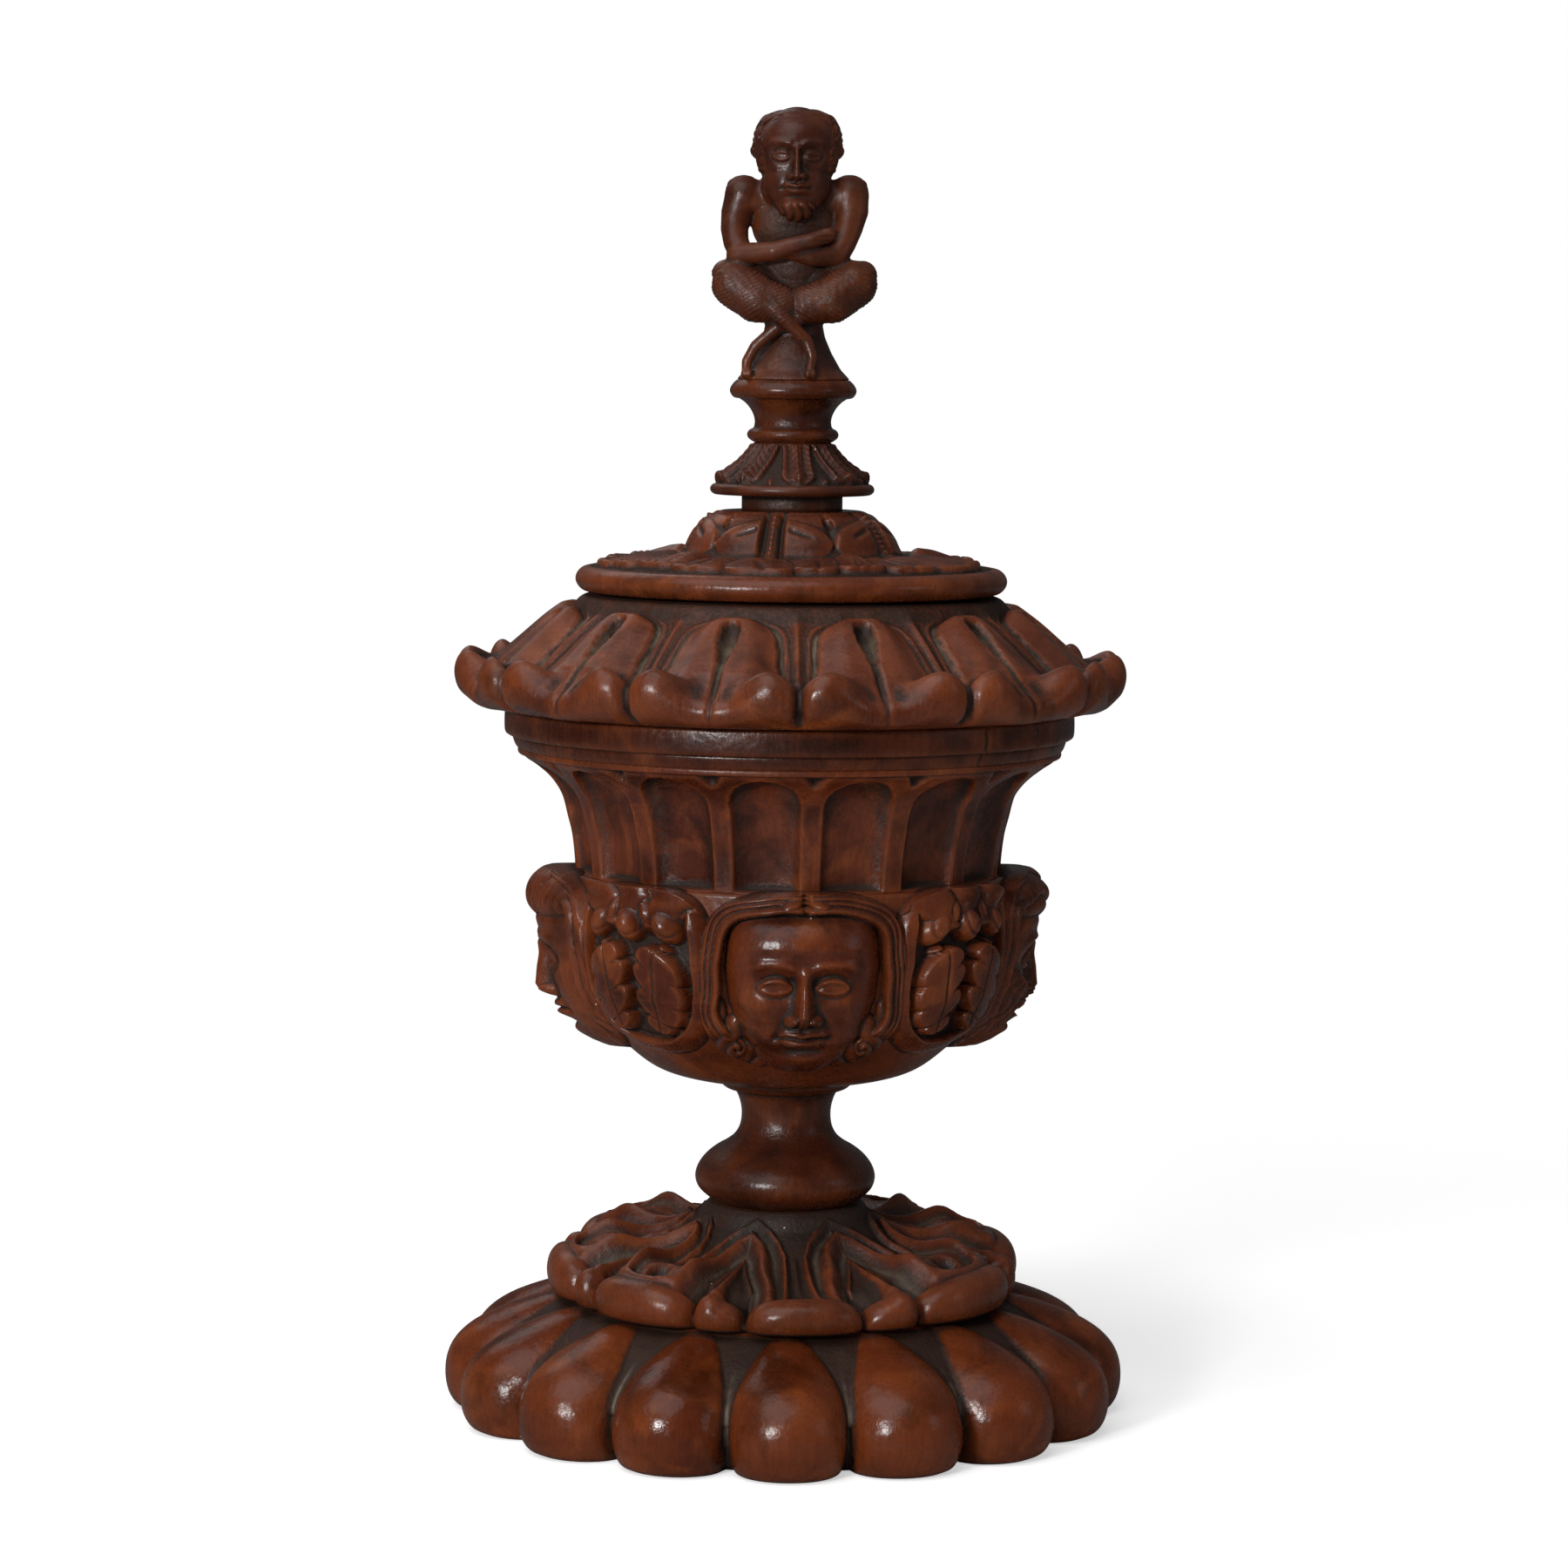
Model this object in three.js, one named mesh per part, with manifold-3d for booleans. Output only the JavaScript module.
// A carved wooden urn with a lift-off lid: turned and carved sections stacked on one axis,
// four applied masks and four applied leaf cartouches round the bowl, and a seated figure on the lid.
// Millimetres, +Z up. The origin is the middle of the flat ring it stands on, and its front is -Y.
// A direction round the axis is an angle from the front, growing towards +X.

import * as THREE from 'three';
import { mergeVertices } from 'three/addons/utils/BufferGeometryUtils.js';
import Module from 'manifold-3d';

const wasm = await Module();
wasm.setup();

// Fits
const spigotClearance = 0.2; // on the radius, between a turned spigot and its socket
const glueGap = 0.3; // between an applied carving and what it is glued to
const lidClearance = 0.8; // on the radius, between the lid's flange and the rim it drops into
const socketExtra = 1; // how much deeper a socket is than its spigot is long

// Lobed plinth
const plinthHeight = 30.2;
const plinthRadius = 86.6;
const plinthToeHeight = 3; // of the bend above a lobe's foot
const plinthNoseHeight = 10; // where a lobe stands out furthest
const plinthBrowHeight = 26; // of the bend at the top of a lobe
const plinthFootInset = 3; // from the widest point of a lobe in to where it meets the table
const plinthLobes = 16;
const plinthValley = 13; // how far the valleys between lobes are cut in
const plinthValleySink = 0.3; // share of its height that a valley sinks
const plinthPhase = degrees(1);
const standingRingLeast = 8.6; // width of the standing ring under a valley
const footRecess = 3;

// Rosette of eight large petals and eight small ones
const rosetteHeight = 23.5;
const rosetteRadius = 60.7;
const rosetteUndercut = 6.7; // from the lip in to the foot of the petals
const rosetteOverhang = 2; // how far its foot reaches past the plinth's flat top
const rosetteLipHeight = 11;
const rosetteLipRound = 5;
const rosettePetalLength = 14; // from the lip in to the hollow
const rosetteDish = 2.6; // how far a petal is hollowed behind its lip
const rosetteDishStart = 34; // radius where the hollow begins
const rosetteNeckFlare = 3;
const rosetteShoulder = 1.7; // how far its neck stands out past the stem's foot
const rosettePetals = 8;
const rosetteNotch = 6; // how far the gaps between large petals are cut in
const rosettePhase = degrees(5);

// Turned stem
const stemHeight = 31.5;
const stemFootRadius = 17.8;
const knopRadius = 23;
const knopHeight = 14;
const knopEquator = 6.2; // height of its widest line
const knopShoulder = 2.5; // drop of the bend at the top of the knop
const stemNeckRadius = 11.4;
const stemNeckRise = 7.5; // from the knop up to the narrowest place
const stemNeckFillet = 4.5;
const stemRingHeight = 2.8;
const stemRingInset = 2.6;
const stemTopRadius = 16.9;
const stemSpigotRadius = 8;
const stemLowerSpigot = 40; // through the rosette and down into the plinth
const stemUpperSpigot = 6.5;

// Fluted drum
const drumHeight = 31.5;
const drumFootRadius = 54;
const drumWaistRise = 20; // up to where the drum starts to flare
const drumFlare = 2.8; // how far the straight part widens on its way up
const drumBendRise = 12; // up to the first bend of its wall
const drumWall = 7.5;
const flutes = 16;
const fluteDepth = 3;
const fluteMargin = 3.2; // plain wood over and under the flutes
const fluteShare = 0.78; // of the pitch
const flutePhase = degrees(-5.65);
const tenonThickness = 2.6;
const tenonHeight = 2.2;

// Bowl
const bowlHeight = 53;
const bowlSwell = 1.3; // how far the bowl stands out past the drum's foot
const bowlTopSwell = 1; // the same at its top edge
const bowlFootLedge = 0.1; // how far its foot reaches past the stem's top
const bowlFloor = 11; // thickness under the hollow
const bowlBelly = 10; // height of the upright wall below the drum

// Rim ring: a step moulding under a plain band
const rimHeight = 10;
const rimRadius = 72;
const rimStepHeight = 3.4;
const rimStepInset = 2;
const rimStepSlope = 1.2;
const rimEdgeRound = 0.4;
const rimOverhang = 1.4; // how far the step moulding stands out past the drum
const rimWall = 10;
const rimTenonInset = 0.8;

// Lid skirt
const skirtHeight = 28.8;
const skirtOverhang = 13; // how far the curls stand out past the rim
const skirtCurlHeight = 8; // of the widest point of a curl
const skirtTipHeight = 15.6;
const skirtTipThickness = 3;
const skirtTroughDepth = 5.5; // below the tips of the curls
const skirtTroughInset = 9.5;
const skirtFootInset = 3;
const skirtShoulderDrop = 9; // from the top down to the roundest place of the dome
const skirtShoulder = 2.6; // how far the dome's top edge stands out past the crown
const skirtLobes = 12;
const skirtDip = 6.5; // how far the rim dips between two curls
const skirtValley = 3; // how far it is cut in there
const skirtPhase = degrees(1.5);
const skirtWall = 7;
const flangeHeight = 5;
const flangeThickness = 4;
const flangeRootRise = 6;

// Lid crown
const crownHeight = 20.9;
const crownRadius = 54.4;
const crownBeadRadius = 3.2;
const crownUndercut = 8.4; // from its edge in to the seat on the skirt
const crownDiscHeight = 6.7;
const crownLeafInset = 6.4;
const crownLeafThickness = 2.4;
const domeFootRadius = 27.4;
const crownSpigotRadius = 9.2;
const crownSpigotLength = 7;

// Finial collar and baluster
const collarHeight = 17;
const collarNeckRadius = 12.7;
const collarNeckHeight = 3.9;
const collarRadius = 20.7;
const collarTopRadius = 9.7;
const collarRimThickness = 4;
const collarRimRound = 1.5;
const collarSpigotRadius = 6;
const collarSpigotLength = 11;
const domeTopMargin = 0.3; // how far the dome's top stands out past the collar
const balusterHeight = 15.7;
const balusterBeadSwell = 2.8; // how far the bead stands out past the collar's top
const balusterBeadHeight = 3.9;
const balusterWaistRadius = 9.9;
const balusterDiscRadius = 15.9;
const balusterDiscThickness = 4.6;
const balusterSpigotRadius = 4;
const balusterSpigotLength = 8;

// Seated figure on its mound
const moundHeight = 14;
const moundInset = 1.7; // from the disc's edge in to the foot of the mound
const moundTopRadius = 8;
const figureSpigotRadius = 3;
const figureSpigotLength = 8;
const figureHeight = 54; // from the top of the mound to the crown of the head
const seatHeight = 6;
const kneeReach = 20.7;
const kneeHeight = 9.6; // above the mound, as the next four heights are
const kneeRadius = 5.6;
const shankRadius = 3.6;
const hoofRadius = 1.8;
const elbowHeight = 17.5;
const chestHeight = 22;
const shoulderHeight = 31;
const shoulderReach = 18;
const armRadius = 3.1;
const forearmRadius = 2.6;
const headWidth = 20;
const headHeight = 23;

// Applied carvings
const maskHeight = 44;
const maskWidth = 42;
const maskRelief = 12.1; // how far the brow stands out from the bowl
const maskTopLap = 1.2; // how far the hair laps up over the drum
const cartoucheHeight = 42;
const cartoucheWidth = 41;
const cartoucheRelief = 10.2;
const carvingPhase = degrees(4);
const maskShare = 0.53; // of a quarter of the bowl

// Sizes that follow from the ones above
const standingRingInner = plinthRadius - plinthFootInset - plinthValley - standingRingLeast;
const rosetteFootRadius = rosetteRadius - rosetteUndercut;
const plinthTopRadius = rosetteFootRadius - rosetteOverhang;
const rosetteNeckRadius = stemFootRadius + rosetteShoulder;
const drumInner = drumFootRadius - drumWall;
const drumTopRadius = rimRadius - rimStepInset - rimOverhang;
const bowlRadius = drumFootRadius + bowlSwell;
const bowlFootRadius = stemTopRadius + bowlFootLedge;
const rimInnerRadius = rimRadius - rimWall;
const rimTenonRadius = rimInnerRadius - rimTenonInset;
const skirtRadius = rimRadius + skirtOverhang;
const skirtFootRadius = rimRadius - skirtFootInset;
const skirtShoulderRadius = crownRadius + skirtShoulder;
const crownSeatRadius = crownRadius - crownUndercut;
const crownLeafRadius = crownRadius - crownLeafInset;
const domeTopRadius = collarRadius + domeTopMargin;
const moundRadius = balusterDiscRadius - moundInset;
const maskReach = bowlRadius + maskRelief;
const cartoucheReach = bowlRadius + cartoucheRelief;

// Heights of the seats, from the table up
const rosetteBase = plinthHeight;
const stemBase = rosetteBase + rosetteHeight;
const bowlBase = stemBase + stemHeight;
const drumBase = bowlBase + bowlHeight;
const rimBase = drumBase + drumHeight;
const lidBase = rimBase + rimHeight;
const crownBase = lidBase + skirtHeight;
const collarBase = crownBase + crownHeight;
const balusterBase = collarBase + collarHeight;
const moundBase = balusterBase + balusterHeight;
const figureBase = moundBase + moundHeight;

const curveSteps = 3; // straight pieces in each curve of a profile

const woods = {
  heartwood: new THREE.MeshStandardMaterial({ color: 0x5c2c1b, roughness: 0.42, metalness: 0 }),
  polished: new THREE.MeshStandardMaterial({ color: 0x6b321c, roughness: 0.36, metalness: 0 }),
  carved: new THREE.MeshStandardMaterial({ color: 0x4d271a, roughness: 0.5, metalness: 0 }),
};

function degrees(angle) {
  return (angle * Math.PI) / 180;
}

// Points of a profile drawn with lines and curves, x being the radius and y the height.
function drawn(draw) {
  const path = new THREE.Path();
  draw(path);
  return path.getPoints(curveSteps);
}

// A profile turned about the vertical axis. carve may move each point (radius, height, angle).
function turned(profile, segments, phase = 0, carve = null) {
  const geometry = new THREE.LatheGeometry(profile, segments, phase);
  const position = geometry.attributes.position;
  for (let i = 0; carve && i < position.count; i++) {
    const radius = Math.hypot(position.getX(i), position.getZ(i));
    const angle = Math.atan2(position.getX(i), position.getZ(i));
    const [newRadius, newHeight] = carve(radius, position.getY(i), angle);
    position.setXYZ(i, newRadius * Math.sin(angle), newHeight, newRadius * Math.cos(angle));
  }
  return geometry.rotateX(Math.PI / 2);
}

// How far an angle lies across its lobe: 0 on the ridge, -1 and 1 in the valleys beside it.
function acrossLobe(angle, count, phase) {
  const turn = ((angle - phase) * count) / (2 * Math.PI);
  return 2 * (turn - Math.round(turn));
}

// A round lobe's fullness: 1 on its ridge, 0 in the valleys.
function fullness(angle, count, phase) {
  return Math.sqrt(Math.max(0, 1 - acrossLobe(angle, count, phase) ** 2));
}

// A ramp from 0 at low to 1 at high.
function ramp(value, low, high) {
  return THREE.MathUtils.clamp((value - low) / (high - low), 0, 1);
}

function solidOf(geometry) {
  const bare = geometry.clone();
  bare.deleteAttribute('normal');
  bare.deleteAttribute('uv');
  const merged = mergeVertices(bare, 1e-3);
  const vertProperties = merged.attributes.position.array;
  const triVerts = new Uint32Array(merged.index.array);
  return new wasm.Manifold(new wasm.Mesh({ numProp: 3, vertProperties, triVerts }));
}

function geometryOf(solid) {
  const mesh = solid.getMesh();
  const geometry = new THREE.BufferGeometry();
  geometry.setAttribute('position', new THREE.BufferAttribute(mesh.vertProperties, 3));
  geometry.setIndex(new THREE.BufferAttribute(mesh.triVerts, 1));
  return geometry;
}

// An ellipsoid at a place, from three half-sizes.
function ellipsoid(at, halfSizes, across = 12, up = 6) {
  const geometry = new THREE.SphereGeometry(1, across, up);
  geometry.rotateX(Math.PI / 2).scale(...halfSizes).translate(...at);
  return solidOf(geometry);
}

// A round limb between two places.
function limb(from, to, radius) {
  const start = new THREE.Vector3(...from);
  const end = new THREE.Vector3(...to);
  const along = end.clone().sub(start);
  const geometry = new THREE.CapsuleGeometry(radius, along.length(), 2, 8);
  const turn = new THREE.Quaternion().setFromUnitVectors(
    new THREE.Vector3(0, 1, 0),
    along.clone().normalize(),
  );
  const middle = start.add(end).multiplyScalar(0.5);
  geometry.applyQuaternion(turn).translate(middle.x, middle.y, middle.z);
  return solidOf(geometry);
}

function joined(solids) {
  return solids.reduce((whole, solid) => whole.add(solid));
}

// The lobed plinth, with the socket for the stem in its top.
function plinth() {
  const socketRadius = stemSpigotRadius + spigotClearance;
  const socketFloor = rosetteBase - (stemLowerSpigot - rosetteHeight) - socketExtra;
  const profile = drawn((p) => {
    p.moveTo(0, footRecess);
    p.lineTo(standingRingInner, footRecess);
    p.lineTo(standingRingInner, 0);
    p.lineTo(plinthRadius - plinthFootInset, 0);
    p.quadraticCurveTo(plinthRadius, plinthToeHeight, plinthRadius, plinthNoseHeight);
    p.quadraticCurveTo(plinthRadius, plinthBrowHeight, plinthTopRadius, plinthHeight);
    p.lineTo(socketRadius, plinthHeight);
    p.lineTo(socketRadius, socketFloor);
    p.lineTo(0, socketFloor);
  });
  return turned(profile, plinthLobes * 6, plinthPhase, (radius, height, angle) => {
    const hollow = 1 - fullness(angle, plinthLobes, plinthPhase);
    const out = ramp(radius, plinthTopRadius, plinthRadius);
    const underside = height < footRecess + 0.01 && radius < standingRingInner + 0.01;
    const cut = underside ? 0 : hollow * out;
    return [radius - cut * plinthValley, height * (1 - plinthValleySink * cut)];
  });
}

// The rosette that lies on the plinth, bored for the stem.
function rosette() {
  const bore = stemSpigotRadius + spigotClearance;
  const top = rosetteBase + rosetteHeight;
  const lip = rosetteBase + rosetteLipHeight;
  const profile = drawn((p) => {
    p.moveTo(bore, rosetteBase);
    p.lineTo(rosetteFootRadius, rosetteBase);
    p.quadraticCurveTo(rosetteRadius, rosetteBase + 1, rosetteRadius, lip - rosetteLipRound);
    p.quadraticCurveTo(rosetteRadius, lip, rosetteRadius - rosetteLipRound, lip);
    p.lineTo(rosetteRadius - rosettePetalLength, lip - 1);
    p.quadraticCurveTo(rosetteNeckRadius + rosetteNeckFlare, lip, rosetteNeckRadius, top - 2);
    p.lineTo(rosetteNeckRadius, top);
    p.lineTo(bore, top);
    p.lineTo(bore, rosetteBase);
  });
  return turned(profile, rosettePetals * 6, rosettePhase, (radius, height, angle) => {
    const petal = fullness(angle, rosettePetals, rosettePhase);
    const out = ramp(radius, rosetteNeckRadius + 4 * rosetteNeckFlare, rosetteRadius);
    const raised = ramp(height, rosetteBase + 1, lip - 2);
    const along = ramp(radius, rosetteDishStart, rosetteRadius - 2);
    const dish = petal * raised * (1 - Math.abs(2 * along - 1));
    return [radius - rosetteNotch * (1 - petal) * out, height - rosetteDish * dish * out];
  });
}

// The stem: a flattened knop under a narrow neck, with a spigot at each end.
function stem() {
  const top = stemBase + stemHeight;
  const knop = stemBase + knopHeight;
  const profile = drawn((p) => {
    p.moveTo(0, stemBase - stemLowerSpigot);
    p.lineTo(stemSpigotRadius, stemBase - stemLowerSpigot);
    p.lineTo(stemSpigotRadius, stemBase);
    p.lineTo(stemFootRadius, stemBase);
    p.quadraticCurveTo(knopRadius, stemBase + 1, knopRadius, stemBase + knopEquator);
    p.quadraticCurveTo(knopRadius, knop - knopShoulder, stemNeckRadius + stemNeckFillet, knop + 0.8);
    p.quadraticCurveTo(stemNeckRadius, knop + knopShoulder, stemNeckRadius, knop + stemNeckRise);
    p.quadraticCurveTo(
      stemNeckRadius,
      top - 2 * stemRingHeight,
      stemNeckRadius + stemRingInset,
      top - stemRingHeight,
    );
    p.lineTo(stemTopRadius, top);
    p.lineTo(stemSpigotRadius, top);
    p.lineTo(stemSpigotRadius, top + stemUpperSpigot);
    p.lineTo(0, top + stemUpperSpigot);
  });
  return turned(profile, 24);
}

// The outside of the bowl from its foot to the seat of the drum, moved out by a gap.
function bowlWall(p, gap) {
  const foot = bowlBase - gap;
  p.lineTo(bowlFootRadius + gap, foot);
  p.quadraticCurveTo(bowlRadius * 0.62, foot + 2, bowlRadius * 0.8 + gap, foot + bowlHeight * 0.24);
  p.quadraticCurveTo(bowlRadius + gap, foot + bowlHeight * 0.44, bowlRadius + gap, drumBase - bowlBelly);
  p.lineTo(drumFootRadius + bowlTopSwell + gap, drumBase);
}

function bowl() {
  const socketRadius = stemSpigotRadius + spigotClearance;
  const socketTop = bowlBase + stemUpperSpigot + socketExtra;
  const rebate = drumInner + tenonThickness + spigotClearance;
  const floor = bowlBase + bowlFloor;
  const profile = drawn((p) => {
    p.moveTo(0, socketTop);
    p.lineTo(socketRadius, socketTop);
    p.lineTo(socketRadius, bowlBase);
    bowlWall(p, 0);
    p.lineTo(rebate, drumBase);
    p.lineTo(rebate, drumBase - tenonHeight - spigotClearance);
    p.lineTo(drumInner, drumBase - tenonHeight - spigotClearance);
    p.lineTo(drumInner, drumBase - bowlBelly);
    p.quadraticCurveTo(drumInner, floor, drumInner * 0.4, floor);
    p.lineTo(0, floor);
  });
  return turned(profile, 36);
}

// The flared outside of the drum, moved out by a gap.
function drumWallLine(p, gap) {
  const waist = drumBase + drumWaistRise;
  p.lineTo(drumFootRadius + gap, drumBase);
  p.lineTo(drumFootRadius + gap, drumBase + fluteMargin);
  p.lineTo(drumFootRadius + drumFlare * 0.6 + gap, drumBase + drumBendRise);
  p.quadraticCurveTo(drumFootRadius + drumFlare + 1 + gap, waist, drumTopRadius + gap, rimBase - 1);
}

// The fluted drum, with a tenon ring that drops into the bowl and a rebate for the rim.
function flutedBody() {
  const rebate = rimTenonRadius + spigotClearance;
  const rebateFloor = rimBase - tenonHeight - spigotClearance;
  const profile = drawn((p) => {
    p.moveTo(drumInner, drumBase - tenonHeight);
    p.lineTo(drumInner + tenonThickness, drumBase - tenonHeight);
    p.lineTo(drumInner + tenonThickness, drumBase);
    drumWallLine(p, 0);
    p.lineTo(drumTopRadius, rimBase);
    p.lineTo(rebate, rimBase);
    p.lineTo(rebate, rebateFloor);
    p.lineTo(rebate - tenonThickness - spigotClearance, rebateFloor);
    p.lineTo(drumInner + drumFlare * 0.6, drumBase + drumBendRise);
    p.lineTo(drumInner, drumBase - tenonHeight);
  });
  const low = drumBase + fluteMargin;
  const high = rimBase - fluteMargin;
  return turned(profile, flutes * 6, flutePhase, (radius, height, angle) => {
    const across = acrossLobe(angle, flutes, flutePhase) / fluteShare;
    const open = Math.sqrt(Math.max(0, 1 - across ** 2));
    const outside = radius > drumFootRadius - 0.1;
    const between = height > low - 0.1 && height < high;
    return [outside && between ? radius - fluteDepth * open : radius, height];
  });
}

// The rim: a plain band over a small step moulding, with a tenon ring below.
function rimRing() {
  const stepTop = rimBase + rimStepHeight;
  const stepRadius = rimRadius - rimStepInset;
  const profile = drawn((p) => {
    p.moveTo(rimTenonRadius - tenonThickness, rimBase - tenonHeight);
    p.lineTo(rimTenonRadius, rimBase - tenonHeight);
    p.lineTo(rimTenonRadius, rimBase);
    p.lineTo(stepRadius - rimStepSlope, rimBase);
    p.lineTo(stepRadius, stepTop);
    p.lineTo(rimRadius - rimEdgeRound, stepTop);
    p.lineTo(rimRadius, stepTop + 1);
    p.lineTo(rimRadius, lidBase);
    p.lineTo(rimInnerRadius, lidBase);
    p.lineTo(rimInnerRadius, rimBase + 1);
    p.lineTo(rimTenonRadius - tenonThickness, rimBase - tenonHeight);
  });
  return turned(profile, 40);
}

// The outside of the bowl and drum as one core, a glue gap larger, which the carvings are fitted to.
function fittingCore() {
  const profile = drawn((p) => {
    p.moveTo(0, bowlBase - glueGap);
    bowlWall(p, glueGap);
    drumWallLine(p, glueGap);
    p.lineTo(0, rimBase - 1);
  });
  return solidOf(turned(profile, 72));
}

// A wedge round the front direction that keeps a carving inside its share of the bowl.
function wedge(halfAngle) {
  const reach = 2 * maskReach;
  const shape = new THREE.Shape();
  shape.moveTo(0, 0);
  shape.lineTo(-reach * Math.sin(halfAngle), -reach * Math.cos(halfAngle));
  shape.lineTo(reach * Math.sin(halfAngle), -reach * Math.cos(halfAngle));
  const geometry = new THREE.ExtrudeGeometry(shape, { depth: lidBase, bevelEnabled: false });
  return solidOf(geometry);
}

// A head in half relief: a face inside a thick band of hair that hangs at both sides.
function maskBlank() {
  const middle = drumBase + maskTopLap - maskHeight / 2;
  const face = ellipsoid(
    [0, -maskReach + 19, middle - 1],
    [maskWidth * 0.4, 19, maskHeight * 0.485],
    14,
    8,
  );
  const hair = ellipsoid(
    [0, -maskReach + 20, middle + maskHeight * 0.12],
    [maskWidth * 0.5, 18, maskHeight * 0.38],
    12,
    8,
  );
  const strand = (side) =>
    ellipsoid(
      [side * maskWidth * 0.4, -maskReach + 17, middle - maskHeight * 0.16],
      [maskWidth * 0.13, 9, maskHeight * 0.28],
      8,
      6,
    );
  return joined([face, hair, strand(-1), strand(1)]);
}

// A leaf cartouche: an oval rolled frame with leaves inside and a scroll at its top.
function cartoucheBlank() {
  const middle = drumBase - cartoucheHeight / 2;
  const frame = ellipsoid(
    [0, -cartoucheReach + 16, middle],
    [cartoucheWidth * 0.5, 16, cartoucheHeight * 0.5],
    16,
    8,
  );
  const scroll = ellipsoid(
    [0, -cartoucheReach + 15, middle + cartoucheHeight * 0.36],
    [cartoucheWidth * 0.44, 13, cartoucheHeight * 0.14],
    12,
    6,
  );
  return joined([frame, scroll]);
}

// A carving trimmed to its share of the bowl and hollowed at the back to fit the wall.
function fitted(blank, halfAngle, core, angle) {
  const trimmed = blank.intersect(wedge(halfAngle));
  return geometryOf(trimmed.rotate([0, 0, (angle * 180) / Math.PI]).subtract(core));
}

// The lid skirt: a domed shell whose rim curls up in lobes, with a flange that locates it in the rim.
function lidSkirt() {
  const bore = crownSpigotRadius + spigotClearance;
  const top = lidBase + skirtHeight;
  const flangeOuter = rimInnerRadius - lidClearance;
  const flangeInner = flangeOuter - flangeThickness;
  const tip = lidBase + skirtTipHeight;
  const profile = drawn((p) => {
    p.moveTo(bore, top - skirtWall);
    p.quadraticCurveTo(flangeInner - 4, top - skirtWall, flangeInner, lidBase + flangeRootRise);
    p.lineTo(flangeInner, lidBase - flangeHeight);
    p.lineTo(flangeOuter, lidBase - flangeHeight);
    p.lineTo(flangeOuter, lidBase);
    p.lineTo(skirtFootRadius, lidBase);
    p.quadraticCurveTo(skirtRadius - 1, lidBase + 2, skirtRadius, lidBase + skirtCurlHeight);
    p.quadraticCurveTo(skirtRadius, tip, skirtRadius - skirtTipThickness, tip);
    p.lineTo(skirtRadius - 2 * skirtTipThickness, tip - skirtTroughDepth + 2);
    p.lineTo(skirtRadius - skirtTroughInset, tip - skirtTroughDepth);
    p.quadraticCurveTo(
      skirtShoulderRadius + skirtShoulderDrop,
      top - skirtShoulderDrop,
      skirtShoulderRadius,
      top - 2,
    );
    p.lineTo(crownSeatRadius + 4, top);
    p.lineTo(bore, top);
    p.lineTo(bore, top - skirtWall);
  });
  return turned(profile, skirtLobes * 6, skirtPhase, (radius, height, angle) => {
    const valley = 1 - fullness(angle, skirtLobes, skirtPhase);
    const outward = ramp(radius, skirtFootRadius + 6, skirtRadius - skirtTipThickness);
    const out = outward * ramp(height, lidBase, tip);
    return [radius - skirtValley * valley * out, height - skirtDip * valley * out];
  });
}

// The lid crown: a disc with a round edge, leaves lying on it and a low dome.
function lidCrown() {
  const top = crownBase + crownHeight;
  const disc = crownBase + crownDiscHeight;
  const bead = crownRadius - crownBeadRadius;
  const socketRadius = collarSpigotRadius + spigotClearance;
  const socketFloor = top - collarSpigotLength - socketExtra;
  const leafTop = disc + crownLeafThickness;
  const profile = drawn((p) => {
    p.moveTo(0, crownBase - crownSpigotLength);
    p.lineTo(crownSpigotRadius, crownBase - crownSpigotLength);
    p.lineTo(crownSpigotRadius, crownBase);
    p.lineTo(crownSeatRadius, crownBase);
    p.lineTo(bead, disc - 2 * crownBeadRadius);
    p.absarc(bead, disc - crownBeadRadius, crownBeadRadius, -Math.PI / 2, Math.PI / 2, false);
    p.lineTo(crownLeafRadius, disc);
    p.lineTo(crownLeafRadius - 2, leafTop);
    p.lineTo(domeFootRadius + 3, leafTop);
    p.quadraticCurveTo(domeFootRadius - 2, leafTop + 1, domeTopRadius + 2, top - 2);
    p.lineTo(domeTopRadius - 2, top);
    p.lineTo(socketRadius, top);
    p.lineTo(socketRadius, socketFloor);
    p.lineTo(0, socketFloor);
  });
  return turned(profile, 32);
}

// The finial collar: a neck, a round rim and a hollow-sided cone cut with leaves.
function finialCollar() {
  const top = collarBase + collarHeight;
  const rimFoot = collarBase + collarNeckHeight;
  const rimTop = rimFoot + collarRimThickness;
  const socketRadius = balusterSpigotRadius + spigotClearance;
  const socketFloor = top - balusterSpigotLength - socketExtra;
  const profile = drawn((p) => {
    p.moveTo(0, collarBase - collarSpigotLength);
    p.lineTo(collarSpigotRadius, collarBase - collarSpigotLength);
    p.lineTo(collarSpigotRadius, collarBase);
    p.lineTo(collarNeckRadius, collarBase);
    p.lineTo(collarNeckRadius, rimFoot);
    p.lineTo(collarRadius - collarRimRound, rimFoot);
    p.quadraticCurveTo(
      collarRadius + 0.4 * collarRimRound,
      rimFoot + collarRimThickness / 2,
      collarRadius - collarRimRound,
      rimTop,
    );
    p.quadraticCurveTo(collarTopRadius + 2, rimTop + 3, collarTopRadius, top);
    p.lineTo(socketRadius, top);
    p.lineTo(socketRadius, socketFloor);
    p.lineTo(0, socketFloor);
  });
  return turned(profile, 24);
}

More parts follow.
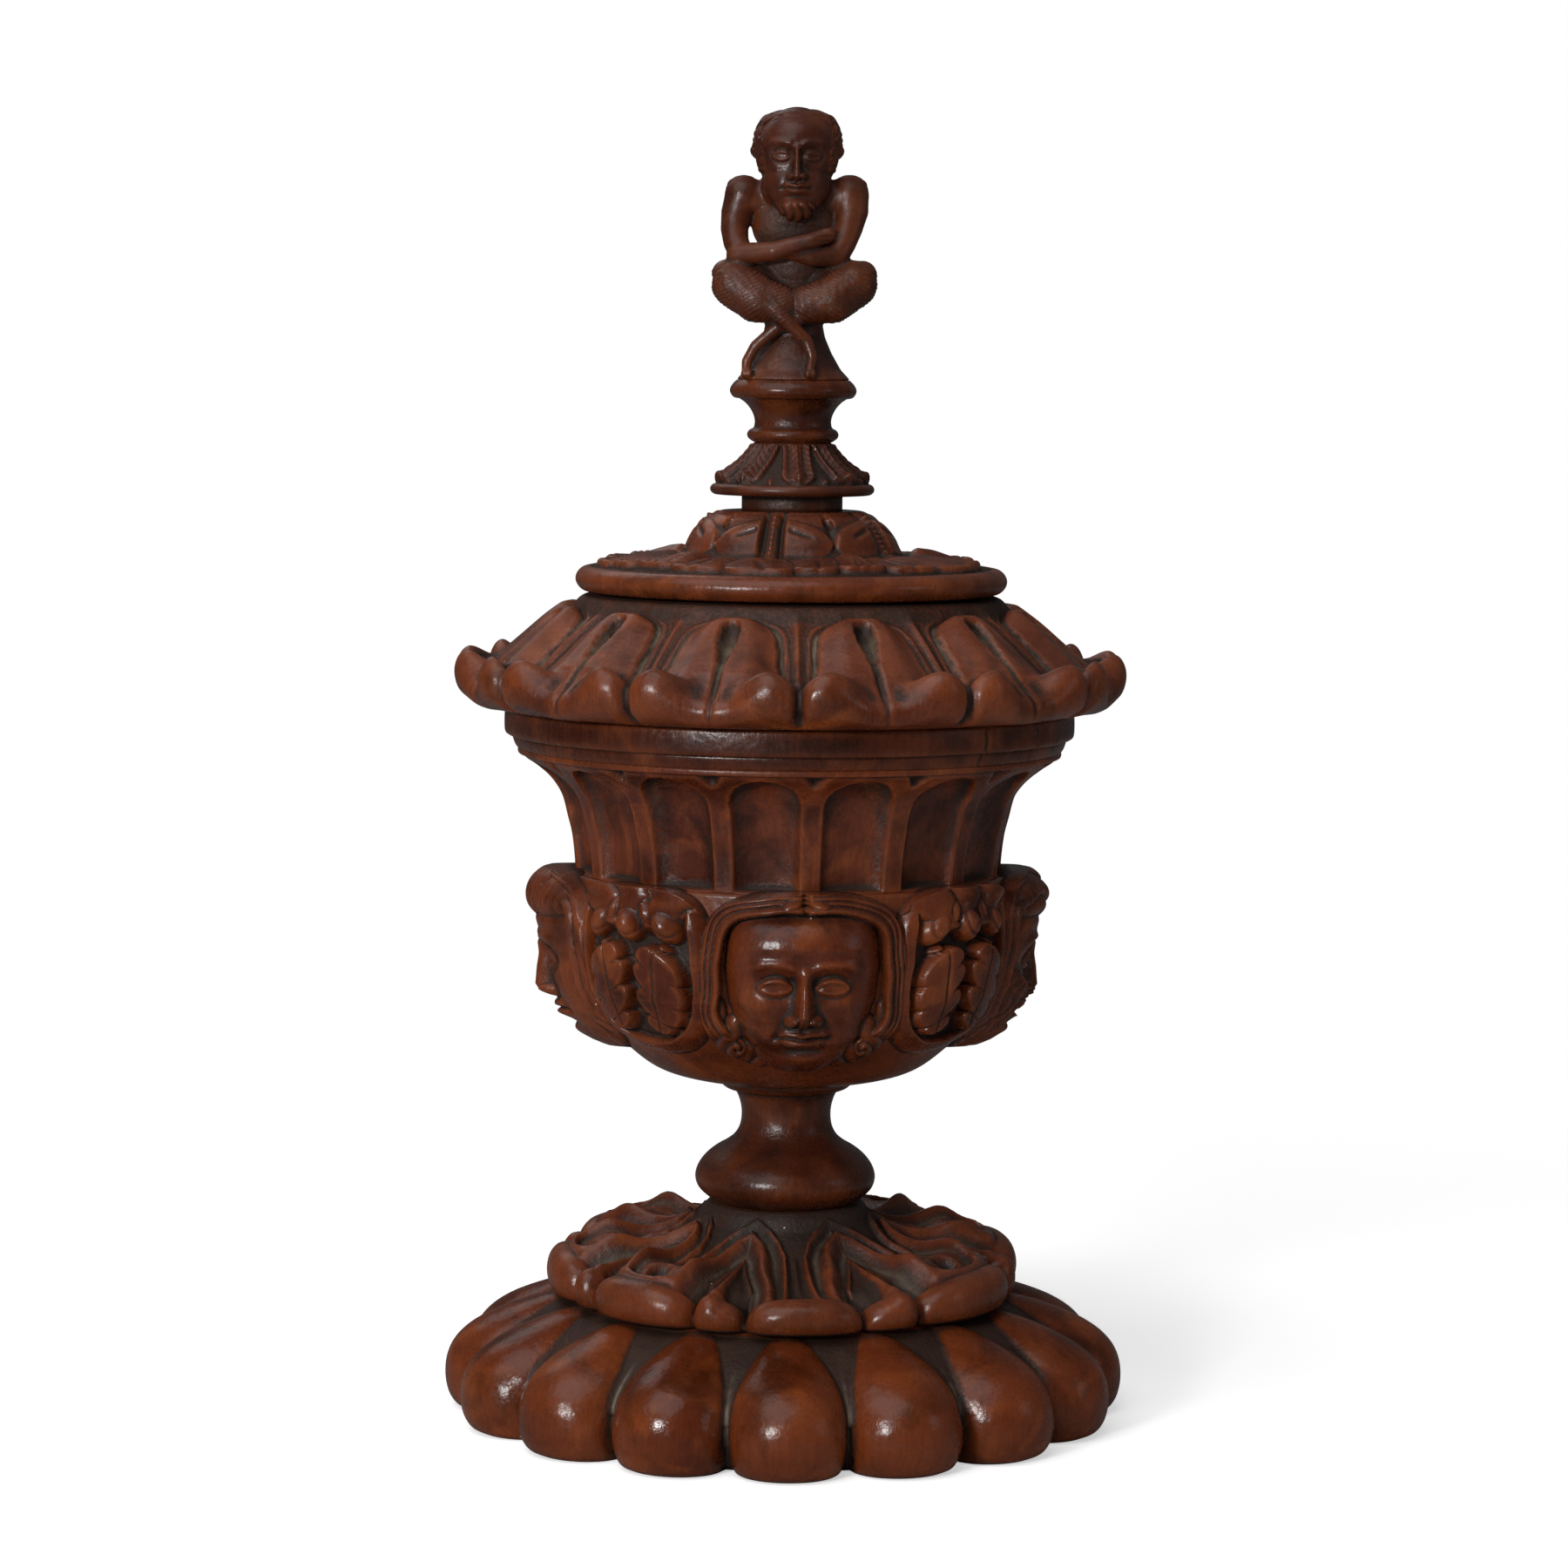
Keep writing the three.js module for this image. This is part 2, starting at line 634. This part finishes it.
// The finial baluster: a bead, a hollow waist and the disc that carries the mound.
function finialBaluster() {
  const top = balusterBase + balusterHeight;
  const beadTop = balusterBase + balusterBeadHeight;
  const discFoot = top - balusterDiscThickness;
  const socketRadius = figureSpigotRadius + spigotClearance;
  const socketFloor = top - figureSpigotLength - socketExtra;
  const profile = drawn((p) => {
    p.moveTo(0, balusterBase - balusterSpigotLength);
    p.lineTo(balusterSpigotRadius, balusterBase - balusterSpigotLength);
    p.lineTo(balusterSpigotRadius, balusterBase);
    p.lineTo(collarTopRadius, balusterBase);
    p.quadraticCurveTo(
      collarTopRadius + balusterBeadSwell,
      balusterBase + balusterBeadHeight / 2,
      balusterWaistRadius,
      beadTop,
    );
    p.quadraticCurveTo(balusterWaistRadius - 0.5, discFoot - 2, balusterDiscRadius - 2.4, discFoot);
    p.quadraticCurveTo(balusterDiscRadius + 1, discFoot + 2, balusterDiscRadius - 1.6, top);
    p.lineTo(socketRadius, top);
    p.lineTo(socketRadius, socketFloor);
    p.lineTo(0, socketFloor);
  });
  return turned(profile, 24);
}

// The mound that the figure sits on, with the spigot that holds both to the baluster.
function mound() {
  const profile = drawn((p) => {
    p.moveTo(0, moundBase - figureSpigotLength);
    p.lineTo(figureSpigotRadius, moundBase - figureSpigotLength);
    p.lineTo(figureSpigotRadius, moundBase);
    p.lineTo(moundRadius, moundBase);
    p.quadraticCurveTo(moundRadius - 1, moundBase + moundHeight * 0.6, moundTopRadius, figureBase);
    p.lineTo(0, figureBase + 3);
  });
  return solidOf(turned(profile, 20));
}

// The seated figure: knees wide, shanks crossed over the mound, arms folded in front of the chest.
function figure() {
  const kneeX = kneeReach - kneeRadius;
  const kneeZ = figureBase + kneeHeight;
  const shoulderX = shoulderReach - armRadius - 0.6;
  const shoulderZ = figureBase + shoulderHeight;
  const elbowX = shoulderX - 1;
  const elbowZ = figureBase + elbowHeight;
  const wristZ = elbowZ + 2.4;
  const headZ = figureBase + figureHeight - headHeight / 2;
  const side = (s) => [
    limb([s * 5, 2, figureBase + seatHeight], [s * kneeX, -2, kneeZ], kneeRadius),
    limb([s * kneeX, -4, kneeZ - 2], [s, -10, figureBase + 0.5], shankRadius),
    limb([s, -10.5, figureBase + 0.5], [-s * 5.2, -11, moundBase + 3.4], hoofRadius),
    limb([s * shoulderX, 1, shoulderZ], [s * elbowX, -3, elbowZ], armRadius),
    limb([s * elbowX, -4, elbowZ], [-s * 6, -9, wristZ + s * 1.6], forearmRadius),
  ];
  return joined([
    mound(),
    ellipsoid([0, 2, figureBase + seatHeight], [11, 8.5, 7.5]),
    ellipsoid([0, 2, figureBase + chestHeight], [9.6, 7, 14.5]),
    limb([-shoulderX + 2, 1.5, shoulderZ + 1], [shoulderX - 2, 1.5, shoulderZ + 1], 4),
    ellipsoid([0, -2, headZ], [headWidth / 2, 10, headHeight / 2], 12, 8),
    ...side(-1),
    ...side(1),
  ]);
}

function piece(name, geometry, material) {
  const mesh = new THREE.Mesh(geometry, material);
  mesh.name = name;
  return mesh;
}

const group = new THREE.Group();
const core = fittingCore();
const quarter = Math.PI / 2;
const maskHalf = (quarter * maskShare) / 2;
const gapAngle = glueGap / bowlRadius;

group.add(
  piece('plinth', plinth(), woods.polished),
  piece('rosette', rosette(), woods.carved),
  piece('stem', stem(), woods.polished),
  piece('bowl', bowl(), woods.heartwood),
  piece('fluted_body', flutedBody(), woods.heartwood),
  piece('rim_ring', rimRing(), woods.polished),
  piece('lid_skirt', lidSkirt(), woods.heartwood),
  piece('lid_crown', lidCrown(), woods.carved),
  piece('finial_collar', finialCollar(), woods.carved),
  piece('finial_baluster', finialBaluster(), woods.polished),
  piece('figure', geometryOf(figure()), woods.carved),
);

['front', 'right', 'back', 'left'].forEach((side, i) => {
  const angle = carvingPhase + i * quarter;
  group.add(piece('mask_' + side, fitted(maskBlank(), maskHalf, core, angle), woods.carved));
});

['front_right', 'back_right', 'back_left', 'front_left'].forEach((side, i) => {
  const angle = carvingPhase + (i + 0.5) * quarter;
  const half = quarter / 2 - maskHalf - gapAngle;
  group.add(piece('cartouche_' + side, fitted(cartoucheBlank(), half, core, angle), woods.carved));
});

export default group;
